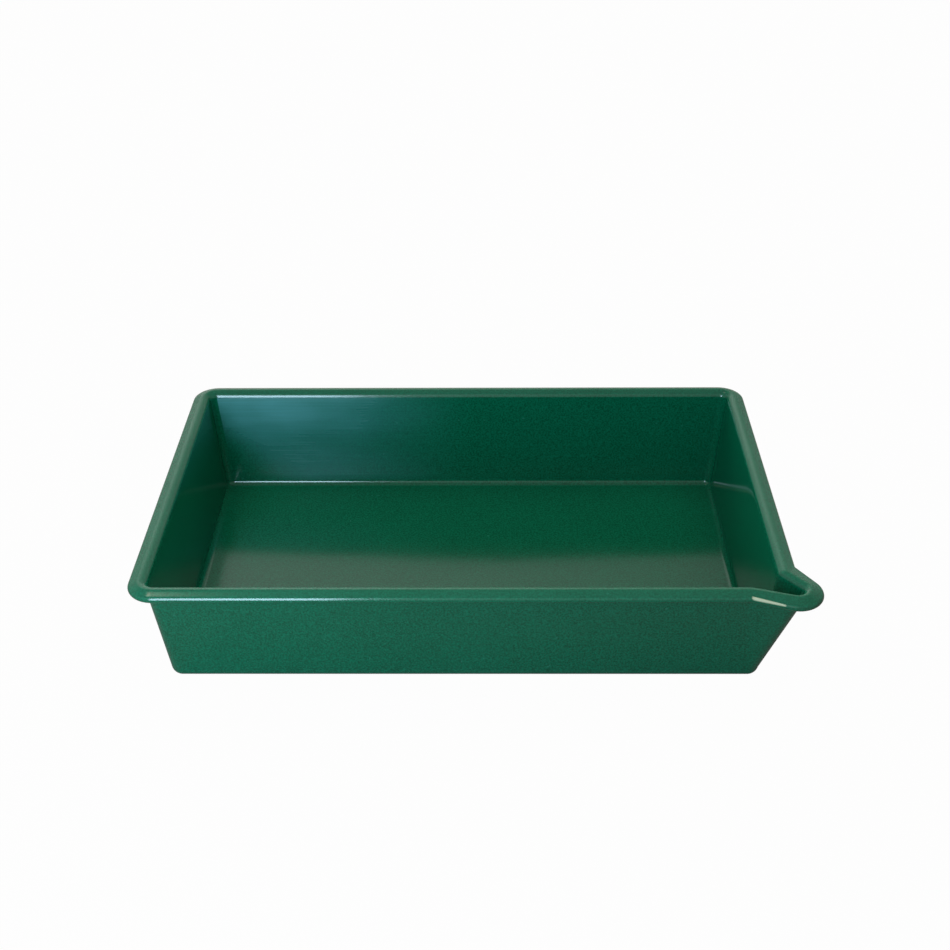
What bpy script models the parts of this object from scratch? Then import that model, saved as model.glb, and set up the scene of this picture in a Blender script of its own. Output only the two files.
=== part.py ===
"""Drip tray with a pouring spout at one corner: one moulded shell with a rolled rim.

Sizes are in metres. +X runs along the tray, -Y is its front and +Z is up. The origin is the
centre of the base, on the surface that the tray stands on. The spout is at the +X, -Y corner.
"""

import math

import bmesh
import bpy
from mathutils import Vector

# Overall size, measured over the rim and without the spout
LENGTH = 0.450
WIDTH = 0.295
HEIGHT = 0.0854  # to the crest of the rim

# Moulded shell
WALL = 0.0022
WALL_LEAN = math.radians(6.4)  # draft, so that the trays leave the mould and nest
FLOOR_FILLET = 0.0050  # inside radius between the floor and the walls
FLOOR_CORNER = 0.0012  # radius in plan of the flat floor's corners, which the fillet widens
THROAT_CORNER = 0.0056  # inside radius in plan of the upright corners, at the top of the walls

# Rim, seen in section from its outer edge inwards
RIM_WIDTH = 0.0134  # outer edge to the inside face of the wall
RIM_FALL = math.radians(23)  # slope of its top, from the crest down to the rolled outer edge
RIM_ROLL_HOLLOW = 0.0007  # inside radius of the rolled outer edge
RIM_ROLL = math.radians(145)  # how far that edge rolls over: down, and back under
UNDER_RIM_RADIUS = 0.0038  # outside the tray, where the wall runs into the rim

# Spout, placed from the square corner that the rim's two outer lines would make
NOSE_SETBACK_X = 0.0043  # side line of the rim to the centre of the spout's nose
NOSE_SETBACK_Y = 0.0088  # front line of the rim to that centre
NOSE_THROAT_RADIUS = 0.0049  # inside face of the wall around the nose
NOSE_MOUTH_ROUNDING = 0.0047  # the wider pouring lip above it, in plan
NOSE_RIM_WIDTH = 0.0086  # the rim around the nose, from its crest to its outer edge
RIM_FRONT_START = 0.0339  # square corner to where the rim's outer edge leaves the front
RIM_SIDE_START = 0.0364  # square corner to where that edge comes back to the side
MOUTH_FRONT_START = 0.0337  # the same two places on the crest of the rim
MOUTH_SIDE_START = 0.0286
BEND_RADIUS = 0.0060  # rounding in plan where the spout leaves the straight rim
BASE_RUN = 0.0060  # straight stretch of the base beside the corner that the spout's sides start on

# Radii of the shell's top face where it bends over the wall's thickness
MOUTH_RADIUS = WALL + UNDER_RIM_RADIUS  # over the rim's crest and down into the tray
RIM_ROLL_RADIUS = WALL + RIM_ROLL_HOLLOW  # the rolled outer edge

# Smoothness, in steps of each round stretch
CORNER_STEPS = 9
BEND_STEPS = 4
NOSE_STEPS = 16
FILLET_STEPS = 6
WALL_STEPS = 4
MOUTH_STEPS = 6
ROLL_STEPS = 8
SHARP_ANGLE = math.radians(40)  # an edge bent further than this is shaded as an edge

QUARTER = math.pi / 2


def arc(centre, radius, start, end, steps):
    """Points along an arc in plan, both ends included."""
    turns = [start + (end - start) * i / steps for i in range(steps + 1)]
    return [centre + radius * Vector((math.cos(t), math.sin(t))) for t in turns]


def straight(start, end, steps):
    """Evenly spaced points along a line in plan, both ends included."""
    return [start.lerp(end, i / steps) for i in range(steps + 1)]


def bend(before, corner, after, radius, steps):
    """Points that round off the corner between two straight stretches in plan."""
    arriving, leaving = (corner - before).normalized(), (after - corner).normalized()
    turn = arriving.angle_signed(leaving)  # positive where the path turns to the right
    reach = radius * math.tan(abs(turn) / 2)
    side = math.copysign(1.0, turn)
    inward = Vector((arriving.y, -arriving.x)) * side
    centre = corner - arriving * reach + inward * radius
    start = math.atan2(-inward.y, -inward.x)
    return arc(centre, radius, start, start - turn, steps)


def touching_point(start, centre, radius, side):
    """Where a line from start touches a circle, on its right (side 1) or its left (side -1)."""
    across = centre - start
    opening = math.asin(radius / across.length)
    heading = math.atan2(across.y, across.x) - side * opening
    reach = math.sqrt(across.length_squared - radius**2)
    return start + reach * Vector((math.cos(heading), math.sin(heading)))


def spout_corner(inset, radius, front_start, side_start):
    """The spout's corner of an outline: out along the front, round the nose, back to the side."""
    centre = Vector((LENGTH / 2 - NOSE_SETBACK_X, NOSE_SETBACK_Y - WIDTH / 2))
    leaves = Vector((LENGTH / 2 - front_start, inset - WIDTH / 2))
    returns = Vector((LENGTH / 2 - inset, side_start - WIDTH / 2))
    out = touching_point(leaves, centre, radius, 1)
    back = touching_point(returns, centre, radius, -1)
    along_front = leaves - Vector((BEND_RADIUS, 0))
    along_side = returns + Vector((0, BEND_RADIUS))
    first = math.atan2(out.y - centre.y, out.x - centre.x)
    last = math.atan2(back.y - centre.y, back.x - centre.x)
    points = bend(along_front, leaves, out, BEND_RADIUS, BEND_STEPS)
    points += arc(centre, radius, first, last, NOSE_STEPS)
    points += bend(back, returns, along_side, BEND_RADIUS, BEND_STEPS)
    return points


def base_corner(inset, radius):
    """The same corner low down, where it is plain, with as many points as spout_corner has."""
    centre = Vector((LENGTH / 2 - inset - radius, inset + radius - WIDTH / 2))
    points = arc(centre, radius, -QUARTER, 0, NOSE_STEPS)
    before = straight(points[0] - Vector((BASE_RUN, 0)), points[0], BEND_STEPS + 1)[:-1]
    after = straight(points[-1], points[-1] + Vector((0, BASE_RUN)), BEND_STEPS + 1)[1:]
    return before + points + after


def outline(first_corner, inset, radius):
    """A closed outline in plan: the spout's corner, then the three plain ones, anticlockwise."""
    points = list(first_corner)
    for x, y, start in ((1, 1, 0), (-1, 1, QUARTER), (-1, -1, 2 * QUARTER)):
        centre = Vector((x * (LENGTH / 2 - inset - radius), y * (WIDTH / 2 - inset - radius)))
        points += arc(centre, radius, start, start + QUARTER, CORNER_STEPS)
    return points


def rim_outline(inset):
    """The rim's outer edge, drawn in by an inset."""
    radius = NOSE_THROAT_RADIUS + NOSE_MOUTH_ROUNDING + NOSE_RIM_WIDTH - inset
    corner = spout_corner(inset, radius, RIM_FRONT_START, RIM_SIDE_START)
    return outline(corner, inset, THROAT_CORNER + RIM_WIDTH - inset)


def crest_inset():
    """From the rim's outer edge in to its crest."""
    return RIM_WIDTH - MOUTH_RADIUS * math.cos(WALL_LEAN)


def crest_outline():
    """The crest of the rim, from which it rounds down into the tray."""
    radius = NOSE_THROAT_RADIUS + NOSE_MOUTH_ROUNDING
    corner = spout_corner(crest_inset(), radius, MOUTH_FRONT_START, MOUTH_SIDE_START)
    return outline(corner, crest_inset(), THROAT_CORNER + RIM_WIDTH - crest_inset())


def throat_outline():
    """The top of the wall's inside face, below that rounding."""
    corner = spout_corner(RIM_WIDTH, NOSE_THROAT_RADIUS, MOUTH_FRONT_START, MOUTH_SIDE_START)
    return outline(corner, RIM_WIDTH, THROAT_CORNER)


def floor_outline(inset):
    """The inside of the tray near its floor, drawn in by an inset from the foot of the wall."""
    foot = RIM_WIDTH + (throat_height() - fillet_height()) * math.tan(WALL_LEAN)
    radius = FLOOR_CORNER + FLOOR_FILLET * math.cos(WALL_LEAN) - inset
    return outline(base_corner(foot + inset, radius), foot + inset, radius)


def throat_height():
    """Where the wall's straight inside face ends and the rounding over the mouth starts."""
    return HEIGHT - MOUTH_RADIUS * (1 - math.sin(WALL_LEAN))


def fillet_height():
    """Where the fillet above the floor ends and the wall's straight inside face starts."""
    return WALL + FLOOR_FILLET * (1 - math.sin(WALL_LEAN))


def roll_height():
    """The centre of the rolled outer edge, which the rim's sloping top runs into."""
    slope_start = crest_inset() - MOUTH_RADIUS * math.sin(RIM_FALL)
    slope_end = RIM_ROLL_RADIUS * (1 - math.sin(RIM_FALL))
    top = HEIGHT - MOUTH_RADIUS * (1 - math.cos(RIM_FALL))
    fall = (slope_start - slope_end) * math.tan(RIM_FALL)
    return top - fall - RIM_ROLL_RADIUS * math.cos(RIM_FALL)


def at_height(points, z):
    """The points of an outline in plan, lifted to a height."""
    return [Vector((point.x, point.y, z)) for point in points]


def floor_rings():
    """The floor's edge and the fillet above it, up to where the leaning wall takes over."""
    rings = []
    for i in range(FILLET_STEPS + 1):
        turn = (QUARTER - WALL_LEAN) * i / FILLET_STEPS
        inset = FLOOR_FILLET * (math.cos(WALL_LEAN) - math.sin(turn))
        rings.append(at_height(floor_outline(inset), WALL + FLOOR_FILLET * (1 - math.cos(turn))))
    return rings


def wall_rings(foot):
    """The straight wall, from the ring at its foot to the throat: plain below, spouted above."""
    throat = at_height(throat_outline(), throat_height())
    steps = range(1, WALL_STEPS + 1)
    return [[low.lerp(high, i / WALL_STEPS) for low, high in zip(foot, throat)] for i in steps]


def mouth_rings(throat):
    """The rounding from the wall over the rim's crest, to where the rim's top slopes down."""
    crest = at_height(crest_outline(), HEIGHT)
    rings = []
    for i in range(1, MOUTH_STEPS + 1):
        turn = WALL_LEAN + (QUARTER + RIM_FALL - WALL_LEAN) * i / MOUTH_STEPS
        out = 1 - math.cos(turn) / math.cos(WALL_LEAN)  # 0 at the throat, 1 at the crest
        up = (math.sin(turn) - math.sin(WALL_LEAN)) / (1 - math.sin(WALL_LEAN))
        rings.append([a + Vector((*(b - a).xy * out, (b.z - a.z) * up)) for a, b in zip(throat, crest)])
    return rings


def rim_rings():
    """The rim's rolled outer edge, from its sloping top round to the end of the lip."""
    rings = []
    for i in range(ROLL_STEPS + 1):
        turn = RIM_FALL + (RIM_ROLL - RIM_FALL) * i / ROLL_STEPS
        inset = RIM_ROLL_RADIUS * (1 - math.sin(turn))
        height = roll_height() + RIM_ROLL_RADIUS * math.cos(turn)
        rings.append(at_height(rim_outline(inset), height))
    return rings


def lofted_surface(name, rings):
    """An open surface through a stack of rings, closed across the first one."""
    shape = bmesh.new()
    loops = [[shape.verts.new(point) for point in ring] for ring in rings]
    for low, high in zip(loops, loops[1:]):
        for i, vert in enumerate(low):
            shape.faces.new((low[i - 1], vert, high[i], high[i - 1]))
    shape.faces.new(loops[0])
    bmesh.ops.recalc_face_normals(shape, faces=shape.faces)
    mesh = bpy.data.meshes.new(name)
    shape.to_mesh(mesh)
    shape.free()
    return mesh


def green_plastic():
    """Deep green moulded plastic with a semi-gloss skin."""
    material = bpy.data.materials.new("green_plastic")
    material.use_nodes = True
    shader = material.node_tree.nodes["Principled BSDF"]
    shader.inputs["Base Color"].default_value = (0.010, 0.118, 0.070, 1.0)
    shader.inputs["Roughness"].default_value = 0.32
    shader.inputs["Metallic"].default_value = 0.0
    return material


def drip_tray(collection):
    """The whole tray: its inside and top surface, given the wall's thickness outwards."""
    rings = floor_rings()
    rings += wall_rings(rings[-1])
    rings += mouth_rings(rings[-1])
    rings += rim_rings()
    mesh = lofted_surface("drip_tray", rings)
    mesh.shade_smooth()
    mesh.set_sharp_from_angle(angle=SHARP_ANGLE)
    tray = bpy.data.objects.new("drip_tray", mesh)
    tray.data.materials.append(green_plastic())
    shell = tray.modifiers.new("Wall", "SOLIDIFY")
    shell.thickness = WALL
    shell.offset = -1.0
    shell.use_even_offset = True
    shell.use_rim = True
    collection.objects.link(tray)
    return tray


def main():
    for leftover in list(bpy.data.objects):
        bpy.data.objects.remove(leftover, do_unlink=True)
    collection = bpy.data.collections.new("Drip Tray")
    bpy.context.scene.collection.children.link(collection)
    drip_tray(collection)


main()
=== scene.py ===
"""Drip tray of green moulded plastic with a pouring spout at one corner, in plain studio light.

The file is laid out as an add-on and is run as a script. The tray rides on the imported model's
body and replaces its one solid. Sizes are in metres: +X runs along the tray towards the spout's
end, -Y is the front and +Z is up.
"""

import math

import bmesh
import bpy
from bpy.props import FloatProperty, FloatVectorProperty, PointerProperty
from mathutils import Matrix, Vector


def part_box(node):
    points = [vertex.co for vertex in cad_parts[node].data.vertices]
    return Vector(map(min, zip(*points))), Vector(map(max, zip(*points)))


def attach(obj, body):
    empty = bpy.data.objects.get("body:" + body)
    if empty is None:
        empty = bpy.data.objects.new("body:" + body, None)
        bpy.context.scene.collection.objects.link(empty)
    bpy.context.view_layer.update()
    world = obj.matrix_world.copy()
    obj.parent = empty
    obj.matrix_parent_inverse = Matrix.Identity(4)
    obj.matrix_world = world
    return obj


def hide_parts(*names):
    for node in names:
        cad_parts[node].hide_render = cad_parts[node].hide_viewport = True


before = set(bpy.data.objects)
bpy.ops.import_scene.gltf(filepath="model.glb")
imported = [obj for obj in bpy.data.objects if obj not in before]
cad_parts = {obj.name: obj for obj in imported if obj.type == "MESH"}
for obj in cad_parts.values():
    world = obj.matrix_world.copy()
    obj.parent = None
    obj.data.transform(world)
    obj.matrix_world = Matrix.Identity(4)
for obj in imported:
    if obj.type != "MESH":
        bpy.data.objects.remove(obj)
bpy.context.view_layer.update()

bl_info = {
    "name": "Drip Tray",
    "version": (1, 0, 0),
    "blender": (4, 5, 0),
    "location": "3D View > Sidebar > Drip Tray",
    "description": "Models a moulded drip tray with a pouring spout, and its studio stage",
    "category": "Add Mesh",
}

NODE_LOW, NODE_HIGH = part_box("drip_tray")
QUARTER = math.pi / 2
WHITE = (1, 1, 1, 1)

# Steps of the outlines in plan, of the roundings in section, and cuts up the walls.
CORNER_STEPS, BEND_STEPS, NOSE_STEPS = 18, 6, 40
FILLET_STEPS, MOUTH_STEPS, ROLL_STEPS, WALL_CUTS = 10, 14, 24, 11
SHARP_FROM = math.radians(35)

# Noise: repeats per metre, on all axes or on each, and the level from which dust's noise shows.
CLOUD, MOTTLE, FLECK, DUST = 14.0, 800.0, 900.0, 330.0
FLOW, WAVE = (9.0, 9.0, 420.0), (5.0, 7.0, 5.0)
STREAKS, SMUDGES = (14.0, 14.0, 700.0), (22.0, 22.0, 40.0)
DUST_SHOWS = (0.845, 0.875)

# Finish of the plastic: its waves, its grain, and where below the crest wear ends and is full.
PLASTIC_IOR, WAVE_DEPTH, GRAIN_DEPTH, GRAIN_STRENGTH = 1.54, 0.0007, 0.0001, 0.20
RIM_WEAR_ENDS, RIM_WEAR_FULL = 0.0060, 0.0010

# The scuffed patch, rougher and with a bluish sheen painted into its colour: facing the front, on
# the back wall, from a slanting edge on its left to where it has faded, from the wall's foot to
# its top, and how strong it is.
FACING_FRONT, BACK_WALL = (0.955, 0.990), (0.100, 0.110)
PATCH_SLANT, PATCH_STARTS, PATCH_FADES = 1.08, (-0.172, -0.118), (-0.175, 0.010)
PATCH_FOOT, PATCH_TOP = (0.000, 0.012), (0.035, 0.070)
PATCH_STRENGTH, PATCH_STRENGTH_LOW, PATCH_GAIN_ABOVE = 0.92, 0.50, 0.42

# The highlight painted as a cream streak on the spout: its strength, its way in plan, how far
# aside of the middle it runs, its two ends, its edge and the height above which it shows.
STREAK_STRENGTH, STREAK_WAY, STREAK_ASIDE = 0.9, (0.9285, -0.3714), 0.0652
STREAK_STARTS, STREAK_STOPS = (0.2305, 0.2319), (0.2526, 0.2540)
STREAK_EDGE, STREAK_ABOVE = (0.0004, 0.0009), (0.0810, 0.0820)

# The stage: floor, and place, aim and size of each light.
FLOOR_HALF, FLOOR_DROP, FLOOR_WHITE_IN_GLOSS = 6.0, 0.0002, 0.03
WINDOW_PLACE, WINDOW_AIM, WINDOW_SIZE = (-0.295, -0.75, 0.31), (-0.295, 0, 0.31), (0.25, 0.62)
LAMP_PLACE, LAMP_AIM, LAMP_SIZE = (-1.46, 0.38, 4.10), (0, 0, 0), (0.45, 0.40)

# The room: its parts, as the ranges of the direction's X, Y or Z over which each comes or goes,
# how much darker gloss sees its two sides, and how far the light from behind leans to the left.
OVERHEAD, RIGHT_SIDE, FAR_LEFT = (0.62, 0.82), (-0.30, 0.30), (0.28, 0.48)
BEHIND, LOW_ENDS, ABOVE = (0.60, 0.92), (0.45, 0.65), (0.72, 0.95)
RIGHT_DARKER, LEFT_DARKER, BEHIND_LEANS = 0.62, 0.50, 0.7


class TrayShape(bpy.types.PropertyGroup):
    """Sizes of the moulded tray."""

    length: FloatProperty(
        name="Length", description="Over the rim, without the spout",
        default=-2 * NODE_LOW.x, unit="LENGTH")
    width: FloatProperty(
        name="Width", description="Over the rim, without the spout",
        default=2 * NODE_HIGH.y, unit="LENGTH")
    height: FloatProperty(
        name="Height", description="Table to the crest of the rim",
        default=NODE_HIGH.z, unit="LENGTH")
    wall: FloatProperty(
        name="Wall", description="Thickness of the moulding", default=0.0022, unit="LENGTH")
    lean: FloatProperty(
        name="Lean", description="Draft of the walls from upright",
        default=math.radians(6.4), subtype="ANGLE")
    floor_fillet: FloatProperty(
        name="Floor fillet", description="Inside radius between floor and walls",
        default=0.0050, unit="LENGTH")
    floor_corner: FloatProperty(
        name="Floor corner", description="Radius in plan of the flat floor's corners",
        default=0.0012, unit="LENGTH")
    throat_corner: FloatProperty(
        name="Upright corner", description="Inside radius in plan at the top of the walls",
        default=0.0056, unit="LENGTH")
    rim_width: FloatProperty(
        name="Rim width", description="Outer edge to the inside face of the wall",
        default=0.0134, unit="LENGTH")
    roll_radius: FloatProperty(
        name="Rolled edge", description="Outside radius of the rim's rolled edge",
        default=0.0029, unit="LENGTH")
    rim_fall: FloatProperty(
        name="Rim fall", description="Outward slope of the rim, from its crest to its rolled edge",
        default=math.radians(23), subtype="ANGLE")
    roll_turn: FloatProperty(
        name="Roll", description="How far the rim's edge rolls over",
        default=math.radians(145), subtype="ANGLE")
    mouth_radius: FloatProperty(
        name="Mouth rounding", description="From the rim's crest down into the tray",
        default=0.0060, unit="LENGTH")
    nose_setback: FloatVectorProperty(
        name="Spout setback", description="Rim lines to the centre of the spout's nose",
        default=(0.0043, 0.0088), size=2, unit="LENGTH")
    nose_throat: FloatProperty(
        name="Spout throat", description="Inside radius of the wall around the nose",
        default=0.0049, unit="LENGTH")
    nose_rounding: FloatProperty(
        name="Pouring lip", description="Width in plan of the rounding inside the nose",
        default=0.0047, unit="LENGTH")
    nose_rim: FloatProperty(
        name="Spout rim", description="Crest to outer edge around the nose",
        default=0.0086, unit="LENGTH")
    rim_starts: FloatVectorProperty(
        name="Rim starts", description="Square corner to where the outer edge leaves the rim",
        default=(0.0339, 0.0364), size=2, unit="LENGTH")
    mouth_starts: FloatVectorProperty(
        name="Mouth starts", description="Square corner to where the inner edge leaves the rim",
        default=(0.0337, 0.0286), size=2, unit="LENGTH")
    bend_radius: FloatProperty(
        name="Spout bends", description="Rounding in plan where the spout leaves the rim",
        default=0.0060, unit="LENGTH")


class TrayPlastic(bpy.types.PropertyGroup):
    """Colours and finish of the plastic."""

    deep: FloatVectorProperty(
        name="Deep green", description="The darker of the two greens that mottle the plastic",
        default=(0.0001, 0.0690, 0.0310), min=0, max=1, subtype="COLOR")
    light: FloatVectorProperty(
        name="Light green", description="The lighter of the two greens that mottle the plastic",
        default=(0.0014, 0.1250, 0.0610), min=0, max=1, subtype="COLOR")
    rubbed: FloatVectorProperty(
        name="Rubbed green", description="The paler colour where handling has dulled the skin",
        default=(0.0200, 0.1700, 0.1050), min=0, max=1, subtype="COLOR")
    # Painted sheen: the window's bluish reflection on the back wall, painted into the colour of
    # the scuffed patch.
    painted_sheen: FloatVectorProperty(
        name="Bloom", description="The bluish bloom on the scuffed part of the back wall",
        default=(0.0420, 0.2450, 0.2400), min=0, max=1, subtype="COLOR")
    # Painted highlight: a cream glint on the spout's front edge, painted into the colour as a
    # narrow streak.
    painted_highlight: FloatVectorProperty(
        name="Bare streak", description="The cream streak rubbed along the spout's front edge",
        default=(0.5000, 0.5200, 0.3500), min=0, max=1, subtype="COLOR")
    roughness: FloatProperty(
        name="Roughness", description="Of the clean moulded skin",
        default=0.13, min=0, max=1, subtype="FACTOR")
    rim_roughness: FloatProperty(
        name="Rim roughness", description="Of the rim, where the tray is held",
        default=0.17, min=0, max=1, subtype="FACTOR")
    scuffed: FloatProperty(
        name="Scuffed roughness", description="Of the scuffed patch inside the back wall",
        default=0.46, min=0, max=1, subtype="FACTOR")


class TrayStudio(bpy.types.PropertyGroup):
    """Floor, lights and camera."""

    floor: FloatVectorProperty(
        name="Floor", description="Colour of the pale floor",
        default=(0.24, 0.23, 0.21), min=0, max=1, subtype="COLOR")
    floor_white: FloatProperty(
        name="Floor's white", description="Share of plain white that the camera sees in the floor",
        default=0.98, min=0, max=1, subtype="FACTOR")
    fill: FloatProperty(
        name="Fill", description="Level of the room's even light", default=0.19, min=0)
    fill_behind: FloatProperty(
        name="Fill from behind", description="What the room behind the tray adds",
        default=5.80, min=0)
    fill_above: FloatProperty(
        name="Fill from above", description="What the ceiling adds", default=1.50, min=0)
    fill_colour: FloatVectorProperty(
        name="Fill colour", description="Colour of the room's light",
        default=(1.0, 0.97, 0.88), min=0, max=1, subtype="COLOR")
    backdrop: FloatProperty(
        name="Backdrop", description="How white gloss sees the room above the horizon",
        default=0.90, min=0, max=1, subtype="FACTOR")
    ceiling: FloatProperty(
        name="Ceiling", description="How white gloss sees the ceiling",
        default=0.20, min=0, max=1, subtype="FACTOR")
    window_power: FloatProperty(
        name="Window", description="Power of the cool softbox low at the front left",
        default=7.6, unit="POWER")
    window_colour: FloatVectorProperty(
        name="Window colour", description="Colour of the softbox at the front left",
        default=(0.55, 0.80, 1.0), min=0, max=1, subtype="COLOR")
    lamp_power: FloatProperty(
        name="Lamp", description="Power of the warm lamp high above the left end",
        default=4.4, unit="POWER")
    lamp_colour: FloatVectorProperty(
        name="Lamp colour", description="Colour of the lamp above the left end",
        default=(1.0, 0.93, 0.76), min=0, max=1, subtype="COLOR")
    camera_place: FloatVectorProperty(
        name="Camera", description="Where the camera stands",
        default=(0.018170, -0.924963, 0.654858), subtype="XYZ", unit="LENGTH")
    camera_pitch: FloatProperty(
        name="Pitch", description="How far the camera looks down",
        default=0.54981, subtype="ANGLE")
    camera_yaw: FloatProperty(
        name="Yaw", description="How far the camera turns to the right",
        default=-0.01217, subtype="ANGLE")
    camera_roll: FloatProperty(
        name="Roll", description="How far the camera tips to the left",
        default=-0.00750, subtype="ANGLE")
    lens: FloatProperty(
        name="Lens", description="Focal length on a 36 mm sensor, in millimetres",
        default=55.414, min=1)


class Socket:
    """A node's output. Arithmetic on it adds Math nodes."""

    def __init__(self, shading, output):
        self.shading, self.output = shading, output

    def maths(self, operation, first, second):
        return self.shading.node("Math", {"operation": operation}, {0: first, 1: second})

    def or_else(self, other):
        """The larger of the two."""
        return self.maths("MAXIMUM", self, other)

    def __add__(self, other):
        return self.maths("ADD", self, other)

    def __sub__(self, other):
        return self.maths("SUBTRACT", self, other)

    def __rsub__(self, other):
        return self.maths("SUBTRACT", other, self)

    def __mul__(self, other):
        return self.maths("MULTIPLY", self, other)

    __radd__, __rmul__ = __add__, __mul__


class Shading:
    """The node tree of a material or a world."""

    def __init__(self, owner):
        owner.use_nodes = True
        self.tree = owner.node_tree
        self.tree.nodes.clear()

    def node(self, kind, settings=None, inputs=None, output=0):
        """Add a node, set it, then fill its sockets with values or links."""
        made = self.tree.nodes.new("ShaderNode" + kind)
        for name, value in (settings or {}).items():
            setattr(made, name, value)
        for name, value in (inputs or {}).items():
            if isinstance(value, Socket):
                self.tree.links.new(value.output, made.inputs[name])
            else:
                made.inputs[name].default_value = value
        return Socket(self, made.outputs[output]) if made.outputs else made

    def axes(self, place):
        """The three parts of a place or a direction: across, away and up."""
        return [self.node("SeparateXYZ", {}, {"Vector": place}, axis) for axis in "XYZ"]

    def noise(self, place, scale, detail):
        """Even noise, from 0 to 1."""
        return self.node("TexNoise", {}, {"Vector": place, "Scale": scale, "Detail": detail})

    def stretched_noise(self, place, scales, detail):
        """Noise that repeats more closely along some axes."""
        place = self.node("Mapping", {}, {"Vector": place, "Scale": scales})
        return self.noise(place, 1.0, detail)

    def ramp(self, value, low, high):
        """0 below low, 1 above high and smooth between them."""
        settings = {"interpolation_type": "SMOOTHSTEP"}
        return self.node("MapRange", settings, {"Value": value, "From Min": low, "From Max": high})

    def rays(self):
        """Whether the camera looks, and whether gloss or something clear does."""
        eye, gloss, clear = (
            self.node("LightPath", output=f"Is {kind} Ray")
            for kind in ("Camera", "Glossy", "Transmission"))
        return eye, gloss.or_else(clear)

    def mix(self, factor, first, second):
        """A colour between two colours."""
        inputs = {"Factor": factor, "A": first, "B": second}
        made = self.tree.nodes.new("ShaderNodeMix")
        made.data_type = "RGBA"
        for socket in (s for s in made.inputs if s.enabled):
            value = inputs[socket.name]
            if isinstance(value, Socket):
                self.tree.links.new(value.output, socket)
            else:
                socket.default_value = value
        return Socket(self, next(s for s in made.outputs if s.enabled))


def swing(noise, amount):
    """Even noise as a swing about zero."""
    return (noise - 0.5) * amount


def back_wall_scuff_and_sheen(shading, place):
    """How scuffed a point is and how much painted sheen it gets.

    The left half of the back wall inside, in level streaks.
    """
    across, away, up = shading.axes(place)
    normal = shading.node("NewGeometry", output="Normal")
    facing = shading.node("SeparateXYZ", {}, {"Vector": normal}, "Y")
    wall = shading.ramp(facing * -1, *FACING_FRONT) * shading.ramp(away, *BACK_WALL)
    streaks = shading.stretched_noise(place, STREAKS, 3.0)
    smudges = shading.stretched_noise(place, SMUDGES, 2.0)
    starts = shading.ramp(across + up * PATCH_SLANT, *PATCH_STARTS)
    fades = 1 - shading.ramp(across, *PATCH_FADES)
    level = PATCH_STRENGTH_LOW + shading.ramp(up, *PATCH_TOP) * PATCH_GAIN_ABOVE
    higher = shading.ramp(up, *PATCH_FOOT) * level
    worn_and_sheen = PATCH_STRENGTH + swing(smudges, 0.7) + swing(streaks, 0.6)
    return wall * starts * fades * higher * worn_and_sheen


def spout_painted_highlight(shading, place):
    """A narrow painted highlight along the rim where the spout leaves the front, on its front
    side.
    """
    across, away, up = shading.axes(place)
    x, y = STREAK_WAY
    along = across * x + away * y
    aside = away * x - across * y + STREAK_ASIDE
    length = shading.ramp(along, *STREAK_STARTS) * (1 - shading.ramp(along, *STREAK_STOPS))
    width = 1 - shading.ramp(aside.or_else(aside * -1), *STREAK_EDGE)
    return length * width * shading.ramp(up, *STREAK_ABOVE)


def tray_plastic(plastic, shape):
    """Deep green moulded plastic: glossy, mottled, dulled along the rim and scuffed inside.

    A bluish sheen is painted into the colour on the back wall, and a cream highlight on the spout.
    """
    material = bpy.data.materials.new("green_plastic")
    shading = Shading(material)
    place = shading.node("TexCoord", output="Object")
    height = shading.node("SeparateXYZ", {}, {"Vector": place}, "Z")
    cloud = shading.noise(place, CLOUD, 3.0)
    mottle = shading.noise(place, MOTTLE, 2.0)
    fleck = shading.noise(place, FLECK, 1.0)
    flow = shading.stretched_noise(place, FLOW, 3.0)
    dust = shading.ramp(shading.noise(place, DUST, 0.0), *DUST_SHOWS)
    rim = shading.ramp(height, shape.height - RIM_WEAR_ENDS, shape.height - RIM_WEAR_FULL)
    scuff_and_sheen = back_wall_scuff_and_sheen(shading, place)
    spout_highlight = spout_painted_highlight(shading, place) * STREAK_STRENGTH
    mottled = 0.5 + swing(mottle, 3.0) + swing(cloud, 0.35)
    green = shading.mix(mottled, (*plastic.deep, 1), (*plastic.light, 1))
    rubbed = rim * (0.10 + cloud * 0.25) + swing(fleck, 0.12) + dust * 0.5
    colour = shading.mix(rubbed, green, (*plastic.rubbed, 1))
    # Painted sheen: the bluish reflection on the back wall, mixed into the colour over the scuffed
    # patch.
    colour = shading.mix(scuff_and_sheen, colour, (*plastic.painted_sheen, 1))
    # Painted highlight: the cream glint along the spout's front edge, mixed into the colour.
    colour = shading.mix(spout_highlight, colour, (*plastic.painted_highlight, 1))
    skin = plastic.roughness + rim * (plastic.rim_roughness - plastic.roughness)
    skin = skin + swing(cloud, 0.04) + swing(flow, 0.03)
    roughness = skin + scuff_and_sheen * (plastic.scuffed - plastic.roughness)
    relief = fleck * 0.3 + mottle * 0.3 + flow * 0.4
    wave = shading.stretched_noise(place, WAVE, 1.0)
    wavy = shading.node("Bump", {}, {"Strength": 1.0, "Distance": WAVE_DEPTH, "Height": wave})
    grain = shading.node("Bump", {}, {
        "Strength": GRAIN_STRENGTH, "Distance": GRAIN_DEPTH, "Height": relief, "Normal": wavy})
    shader = {
        "Base Color": colour, "Roughness": roughness, "IOR": PLASTIC_IOR, "Normal": grain,
    }
    surface = shading.node("BsdfPrincipled", {}, shader)
    shading.node("OutputMaterial", {}, {"Surface": surface})
    return material


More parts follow.
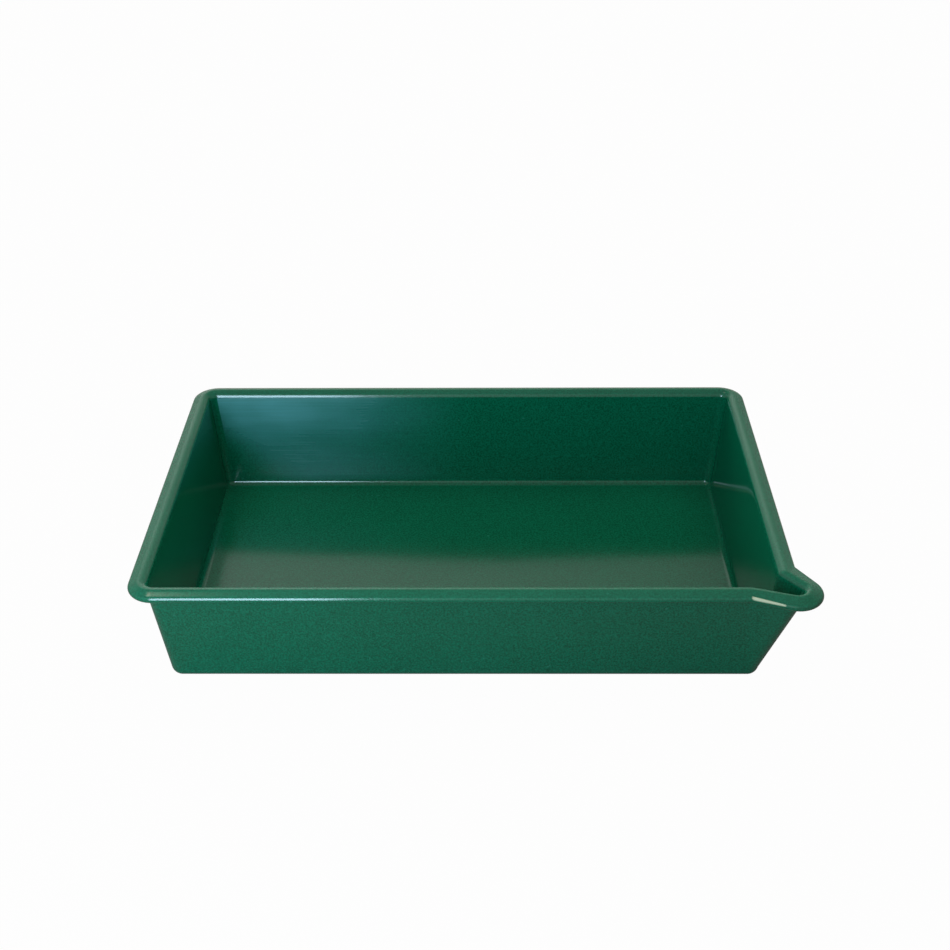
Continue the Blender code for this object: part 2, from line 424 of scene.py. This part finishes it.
class Tracer:
    """Draws one closed outline at a height: a vertex is moved along it and spun round bends."""

    def __init__(self, mesh, height):
        self.mesh, self.height = mesh, height
        self.known = set(mesh.edges)
        self.first = self.last = None

    def line_to(self, point):
        if self.last is None:
            place = (point.x, point.y, self.height)
            made = bmesh.ops.create_vert(self.mesh, co=place)["vert"][0]
            self.first = made
        else:
            made = bmesh.ops.extrude_vert_indiv(self.mesh, verts=[self.last])["verts"][0]
            step = Vector((point.x, point.y, self.height)) - made.co
            bmesh.ops.translate(self.mesh, verts=[made], vec=step)
        self.last = made

    def spin_round(self, centre, angle, steps):
        made = bmesh.ops.spin(
            self.mesh, geom=[self.last], cent=(centre.x, centre.y, self.height),
            axis=(0, 0, 1), angle=angle, steps=steps, use_duplicate=False)
        self.last = next(g for g in made["geom_last"] if isinstance(g, bmesh.types.BMVert))

    def close(self):
        bmesh.ops.contextual_create(self.mesh, geom=[self.last, self.first])
        return [edge for edge in self.mesh.edges if edge not in self.known]


def point_on(centre, radius, angle):
    """A point of a circle in plan."""
    return centre + radius * Vector((math.cos(angle), math.sin(angle)))


def heading_past(start, centre, radius, side):
    """The heading from start that just touches a circle on its right (1) or its left (-1)."""
    across = centre - start
    return math.atan2(across.y, across.x) - side * math.asin(radius / across.length)


def trace_bend(tracer, corner, arriving, leaving, radius, steps):
    """Round off a corner in plan between two headings."""
    turn = (leaving - arriving + math.pi) % (2 * math.pi) - math.pi
    reach = radius * math.tan(abs(turn) / 2)
    side = math.copysign(1.0, turn)
    start = corner - reach * Vector((math.cos(arriving), math.sin(arriving)))
    tracer.line_to(start)
    tracer.spin_round(point_on(start, radius, arriving + side * QUARTER), turn, steps)


def trace_plain_corners(tracer, shape, inset, radius, steps):
    """The three plain corners of an outline, anticlockwise from the back right."""
    for x, y, start in ((1, 1, 0), (-1, 1, QUARTER), (-1, -1, 2 * QUARTER)):
        reach = inset + radius
        centre = Vector((x * (shape.length / 2 - reach), y * (shape.width / 2 - reach)))
        tracer.line_to(point_on(centre, radius, start))
        tracer.spin_round(centre, QUARTER, steps)


def spout_ring(mesh, shape, height, inset, corner, nose, starts):
    """An outline with the spout at its front right corner."""
    tracer = Tracer(mesh, height)
    setback = shape.nose_setback
    centre = Vector((shape.length / 2 - setback[0], setback[1] - shape.width / 2))
    leaves = Vector((shape.length / 2 - starts[0], inset - shape.width / 2))
    returns = Vector((shape.length / 2 - inset, starts[1] - shape.width / 2))
    out = heading_past(leaves, centre, nose, 1)
    back = heading_past(returns, centre, nose, -1) - math.pi
    trace_bend(tracer, leaves, 0, out, shape.bend_radius, BEND_STEPS)
    first, last = out - QUARTER, back - QUARTER
    tracer.line_to(point_on(centre, nose, first))
    tracer.spin_round(centre, (last - first) % (2 * math.pi), NOSE_STEPS)
    trace_bend(tracer, returns, back, QUARTER, shape.bend_radius, BEND_STEPS)
    trace_plain_corners(tracer, shape, inset, corner, CORNER_STEPS)
    return tracer.close()


def base_ring(mesh, shape, height, inset, corner):
    """An outline low down, where the spout's corner is plain."""
    tracer = Tracer(mesh, height)
    centre = Vector((shape.length / 2 - inset - corner, inset + corner - shape.width / 2))
    run = shape.bend_radius
    for i in range(BEND_STEPS + 1):
        tracer.line_to(centre + Vector((run * (i / (BEND_STEPS + 1) - 1), -corner)))
    tracer.line_to(centre - Vector((0, corner)))
    tracer.spin_round(centre, QUARTER, NOSE_STEPS)
    for i in range(1, BEND_STEPS + 2):
        tracer.line_to(centre + Vector((corner, run * i / (BEND_STEPS + 1))))
    trace_plain_corners(tracer, shape, inset, corner, CORNER_STEPS)
    return tracer.close()


def blend(first, second, share):
    return first + (second - first) * share


def height_of_roll(shape):
    """Where the rolled edge turns: the rim's straight slope meets it and the mouth's rounding."""
    falls, stands = math.sin(shape.rim_fall), math.cos(shape.rim_fall)
    crest = shape.rim_width - shape.mouth_radius * math.cos(shape.lean)
    slope = crest - shape.mouth_radius * falls - shape.roll_radius * (1 - falls)
    top = shape.height - shape.mouth_radius * (1 - stands) - slope * math.tan(shape.rim_fall)
    return top - shape.roll_radius * stands


def tray_rings(mesh, shape):
    """The outlines of the tray's inside and top, from the floor's edge to the end of the lip."""
    slope, across = math.sin(shape.lean), math.cos(shape.lean)
    throat = shape.height - shape.mouth_radius * (1 - slope)
    foot_height = shape.wall + shape.floor_fillet * (1 - slope)
    foot = shape.rim_width + (throat - foot_height) * math.tan(shape.lean)
    rings = []
    for i in range(FILLET_STEPS + 1):
        turn = (QUARTER - shape.lean) * i / FILLET_STEPS
        inset = shape.floor_fillet * (across - math.sin(turn))
        height = shape.wall + shape.floor_fillet * (1 - math.cos(turn))
        corner = shape.floor_corner + shape.floor_fillet * across - inset
        rings.append(base_ring(mesh, shape, height, foot + inset, corner))
    rounding = shape.mouth_radius * across
    past_crest = QUARTER + shape.rim_fall
    for i in range(MOUTH_STEPS + 1):
        turn = shape.lean + (past_crest - shape.lean) * i / MOUTH_STEPS
        out = 1 - math.cos(turn) / across
        height = blend(throat, shape.height, (math.sin(turn) - slope) / (1 - slope))
        rings.append(spout_ring(
            mesh, shape, height, shape.rim_width - rounding * out,
            shape.throat_corner + rounding * out,
            shape.nose_throat + shape.nose_rounding * out, shape.mouth_starts))
    roll_height = height_of_roll(shape)
    for i in range(ROLL_STEPS + 1):
        turn = shape.rim_fall + (shape.roll_turn - shape.rim_fall) * i / ROLL_STEPS
        inset = shape.roll_radius * (1 - math.sin(turn))
        height = roll_height + shape.roll_radius * math.cos(turn)
        nose = shape.nose_throat + shape.nose_rounding + shape.nose_rim - inset
        corner = shape.throat_corner + shape.rim_width - inset
        rings.append(spout_ring(mesh, shape, height, inset, corner, nose, shape.rim_starts))
    return rings


def model_tray(shape):
    """The shell's inside and top surface, bridged outline by outline, without its thickness."""
    mesh = bmesh.new()
    rings = tray_rings(mesh, shape)
    walls = []
    for low, high in zip(rings, rings[1:]):
        made = bmesh.ops.bridge_loops(mesh, edges=low + high)
        if low is rings[FILLET_STEPS]:
            walls = [edge for edge in made["edges"] if edge not in low and edge not in high]
    bmesh.ops.contextual_create(mesh, geom=rings[0])
    bmesh.ops.subdivide_edges(mesh, edges=walls, cuts=WALL_CUTS, use_grid_fill=True)
    bmesh.ops.recalc_face_normals(mesh, faces=mesh.faces)
    floor = max(mesh.faces, key=lambda face: face.calc_area())
    if floor.normal.z < 0:
        bmesh.ops.reverse_faces(mesh, faces=mesh.faces)
    for face in mesh.faces:
        face.smooth = face is not floor
    return mesh


def finished_piece(name, mesh):
    data = bpy.data.meshes.new(name)
    mesh.to_mesh(data)
    mesh.free()
    piece = bpy.data.objects.new(name, data)
    bpy.context.scene.collection.objects.link(piece)
    return piece


class TRAY_OT_moulding(bpy.types.Operator):
    """Model the moulded tray with its rim and spout"""

    bl_idname = "tray.moulding"
    bl_label = "Moulded Tray"

    def execute(self, context):
        shape = context.scene.tray_shape
        piece = finished_piece("moulded_tray", model_tray(shape))
        shell = piece.modifiers.new("Wall", "SOLIDIFY")
        shell.thickness = shape.wall
        shell.offset = -1.0
        shell.use_even_offset = True
        piece.data.set_sharp_from_angle(angle=SHARP_FROM)
        piece.data.materials.append(tray_plastic(context.scene.tray_plastic, shape))
        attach(piece, "root")
        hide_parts("drip_tray")
        return {"FINISHED"}


def studio_floor(studio):
    """A pale floor that the camera sees as white, with the tray's shadow on it."""
    mesh = bmesh.new()
    bmesh.ops.create_grid(mesh, x_segments=1, y_segments=1, size=FLOOR_HALF)
    bmesh.ops.translate(mesh, verts=mesh.verts, vec=(0, 0, -FLOOR_DROP))
    floor = finished_piece("floor", mesh)
    material = bpy.data.materials.new("pale_floor")
    shading = Shading(material)
    eye, mirrored = shading.rays()
    card = shading.node("BsdfDiffuse", {}, {"Color": (*studio.floor, 1)})
    white = shading.node("Emission", {}, {"Color": WHITE, "Strength": 1.0})
    share = eye * studio.floor_white + mirrored * FLOOR_WHITE_IN_GLOSS
    seen = shading.node("MixShader", {}, {0: share, 1: card, 2: white})
    shading.node("OutputMaterial", {}, {"Surface": seen})
    floor.data.materials.append(material)


def studio_world(studio):
    """A white background, a pale band round the horizon for gloss, and the room's own light."""
    world = bpy.data.worlds.new("studio")
    bpy.context.scene.world = world
    shading = Shading(world)
    eye, mirrored = shading.rays()
    across, away, up = shading.axes(shading.node("TexCoord", output="Generated"))
    overhead = shading.ramp(up, *OVERHEAD)
    darker_side = shading.ramp(across, *RIGHT_SIDE)
    far_left = shading.ramp(across * -1, *FAR_LEFT)
    backdrop = studio.backdrop * (1 - darker_side * RIGHT_DARKER - far_left * LEFT_DARKER)
    seen = backdrop + overhead * (studio.ceiling - backdrop)
    low = 1 - shading.ramp(up, *LOW_ENDS)
    behind = shading.ramp(away, *BEHIND) * low * (1 - across * BEHIND_LEANS)
    above = shading.ramp(up, *ABOVE)
    fill = studio.fill + behind * studio.fill_behind + above * studio.fill_above
    matte = (1 - eye) * (1 - mirrored)
    strength = eye + mirrored * seen * (1 - eye) + matte * fill
    colour = shading.mix(matte, WHITE, (*studio.fill_colour, 1))
    light = shading.node("Background", {}, {"Color": colour, "Strength": strength})
    shading.node("OutputWorld", {}, {"Surface": light})


def softbox(name, place, aim, size, power, colour):
    """A rectangular soft light."""
    lamp = bpy.data.lights.new(name, "AREA")
    lamp.shape = "RECTANGLE"
    lamp.size, lamp.size_y = size
    lamp.energy = power
    lamp.color = colour
    light = bpy.data.objects.new(name, lamp)
    turn = (Vector(place) - Vector(aim)).to_track_quat("Z", "Y").to_matrix().to_4x4()
    light.matrix_world = Matrix.Translation(place) @ turn
    light.visible_camera = False
    bpy.context.scene.collection.objects.link(light)


def studio_camera(studio):
    """The camera at the photograph's angle."""
    camera = bpy.data.objects.new("camera", bpy.data.cameras.new("camera"))
    camera.data.lens = studio.lens
    turn = Matrix.Rotation(-studio.camera_yaw, 4, "Z")
    turn = turn @ Matrix.Rotation(QUARTER - studio.camera_pitch, 4, "X")
    turn = turn @ Matrix.Rotation(studio.camera_roll, 4, "Z")
    camera.matrix_world = Matrix.Translation(studio.camera_place) @ turn
    bpy.context.scene.collection.objects.link(camera)
    bpy.context.scene.camera = camera


class TRAY_OT_studio(bpy.types.Operator):
    """Set up the floor, the lights and the camera"""

    bl_idname = "tray.studio"
    bl_label = "Studio Stage"

    def execute(self, context):
        studio = context.scene.tray_studio
        context.scene.view_settings.view_transform = "Standard"
        studio_floor(studio)
        studio_world(studio)
        softbox("window_softbox", WINDOW_PLACE, WINDOW_AIM, WINDOW_SIZE,
                studio.window_power, studio.window_colour)
        softbox("left_lamp", LAMP_PLACE, LAMP_AIM, LAMP_SIZE,
                studio.lamp_power, studio.lamp_colour)
        studio_camera(studio)
        return {"FINISHED"}


class TRAY_PT_sidebar(bpy.types.Panel):
    """The tray's pieces and its stage"""

    bl_label = "Drip Tray"
    bl_space_type = "VIEW_3D"
    bl_region_type = "UI"
    bl_category = "Drip Tray"

    def draw(self, context):
        self.layout.operator(TRAY_OT_moulding.bl_idname)
        self.layout.operator(TRAY_OT_studio.bl_idname)


CLASSES = (TrayShape, TrayPlastic, TrayStudio, TRAY_OT_moulding, TRAY_OT_studio, TRAY_PT_sidebar)


def register():
    for item in CLASSES:
        bpy.utils.register_class(item)
    bpy.types.Scene.tray_shape = PointerProperty(type=TrayShape)
    bpy.types.Scene.tray_plastic = PointerProperty(type=TrayPlastic)
    bpy.types.Scene.tray_studio = PointerProperty(type=TrayStudio)


def unregister():
    del bpy.types.Scene.tray_studio, bpy.types.Scene.tray_plastic, bpy.types.Scene.tray_shape
    for item in reversed(CLASSES):
        bpy.utils.unregister_class(item)


def main():
    register()
    bpy.ops.tray.moulding()
    bpy.ops.tray.studio()


if __name__ == "__main__":
    main()
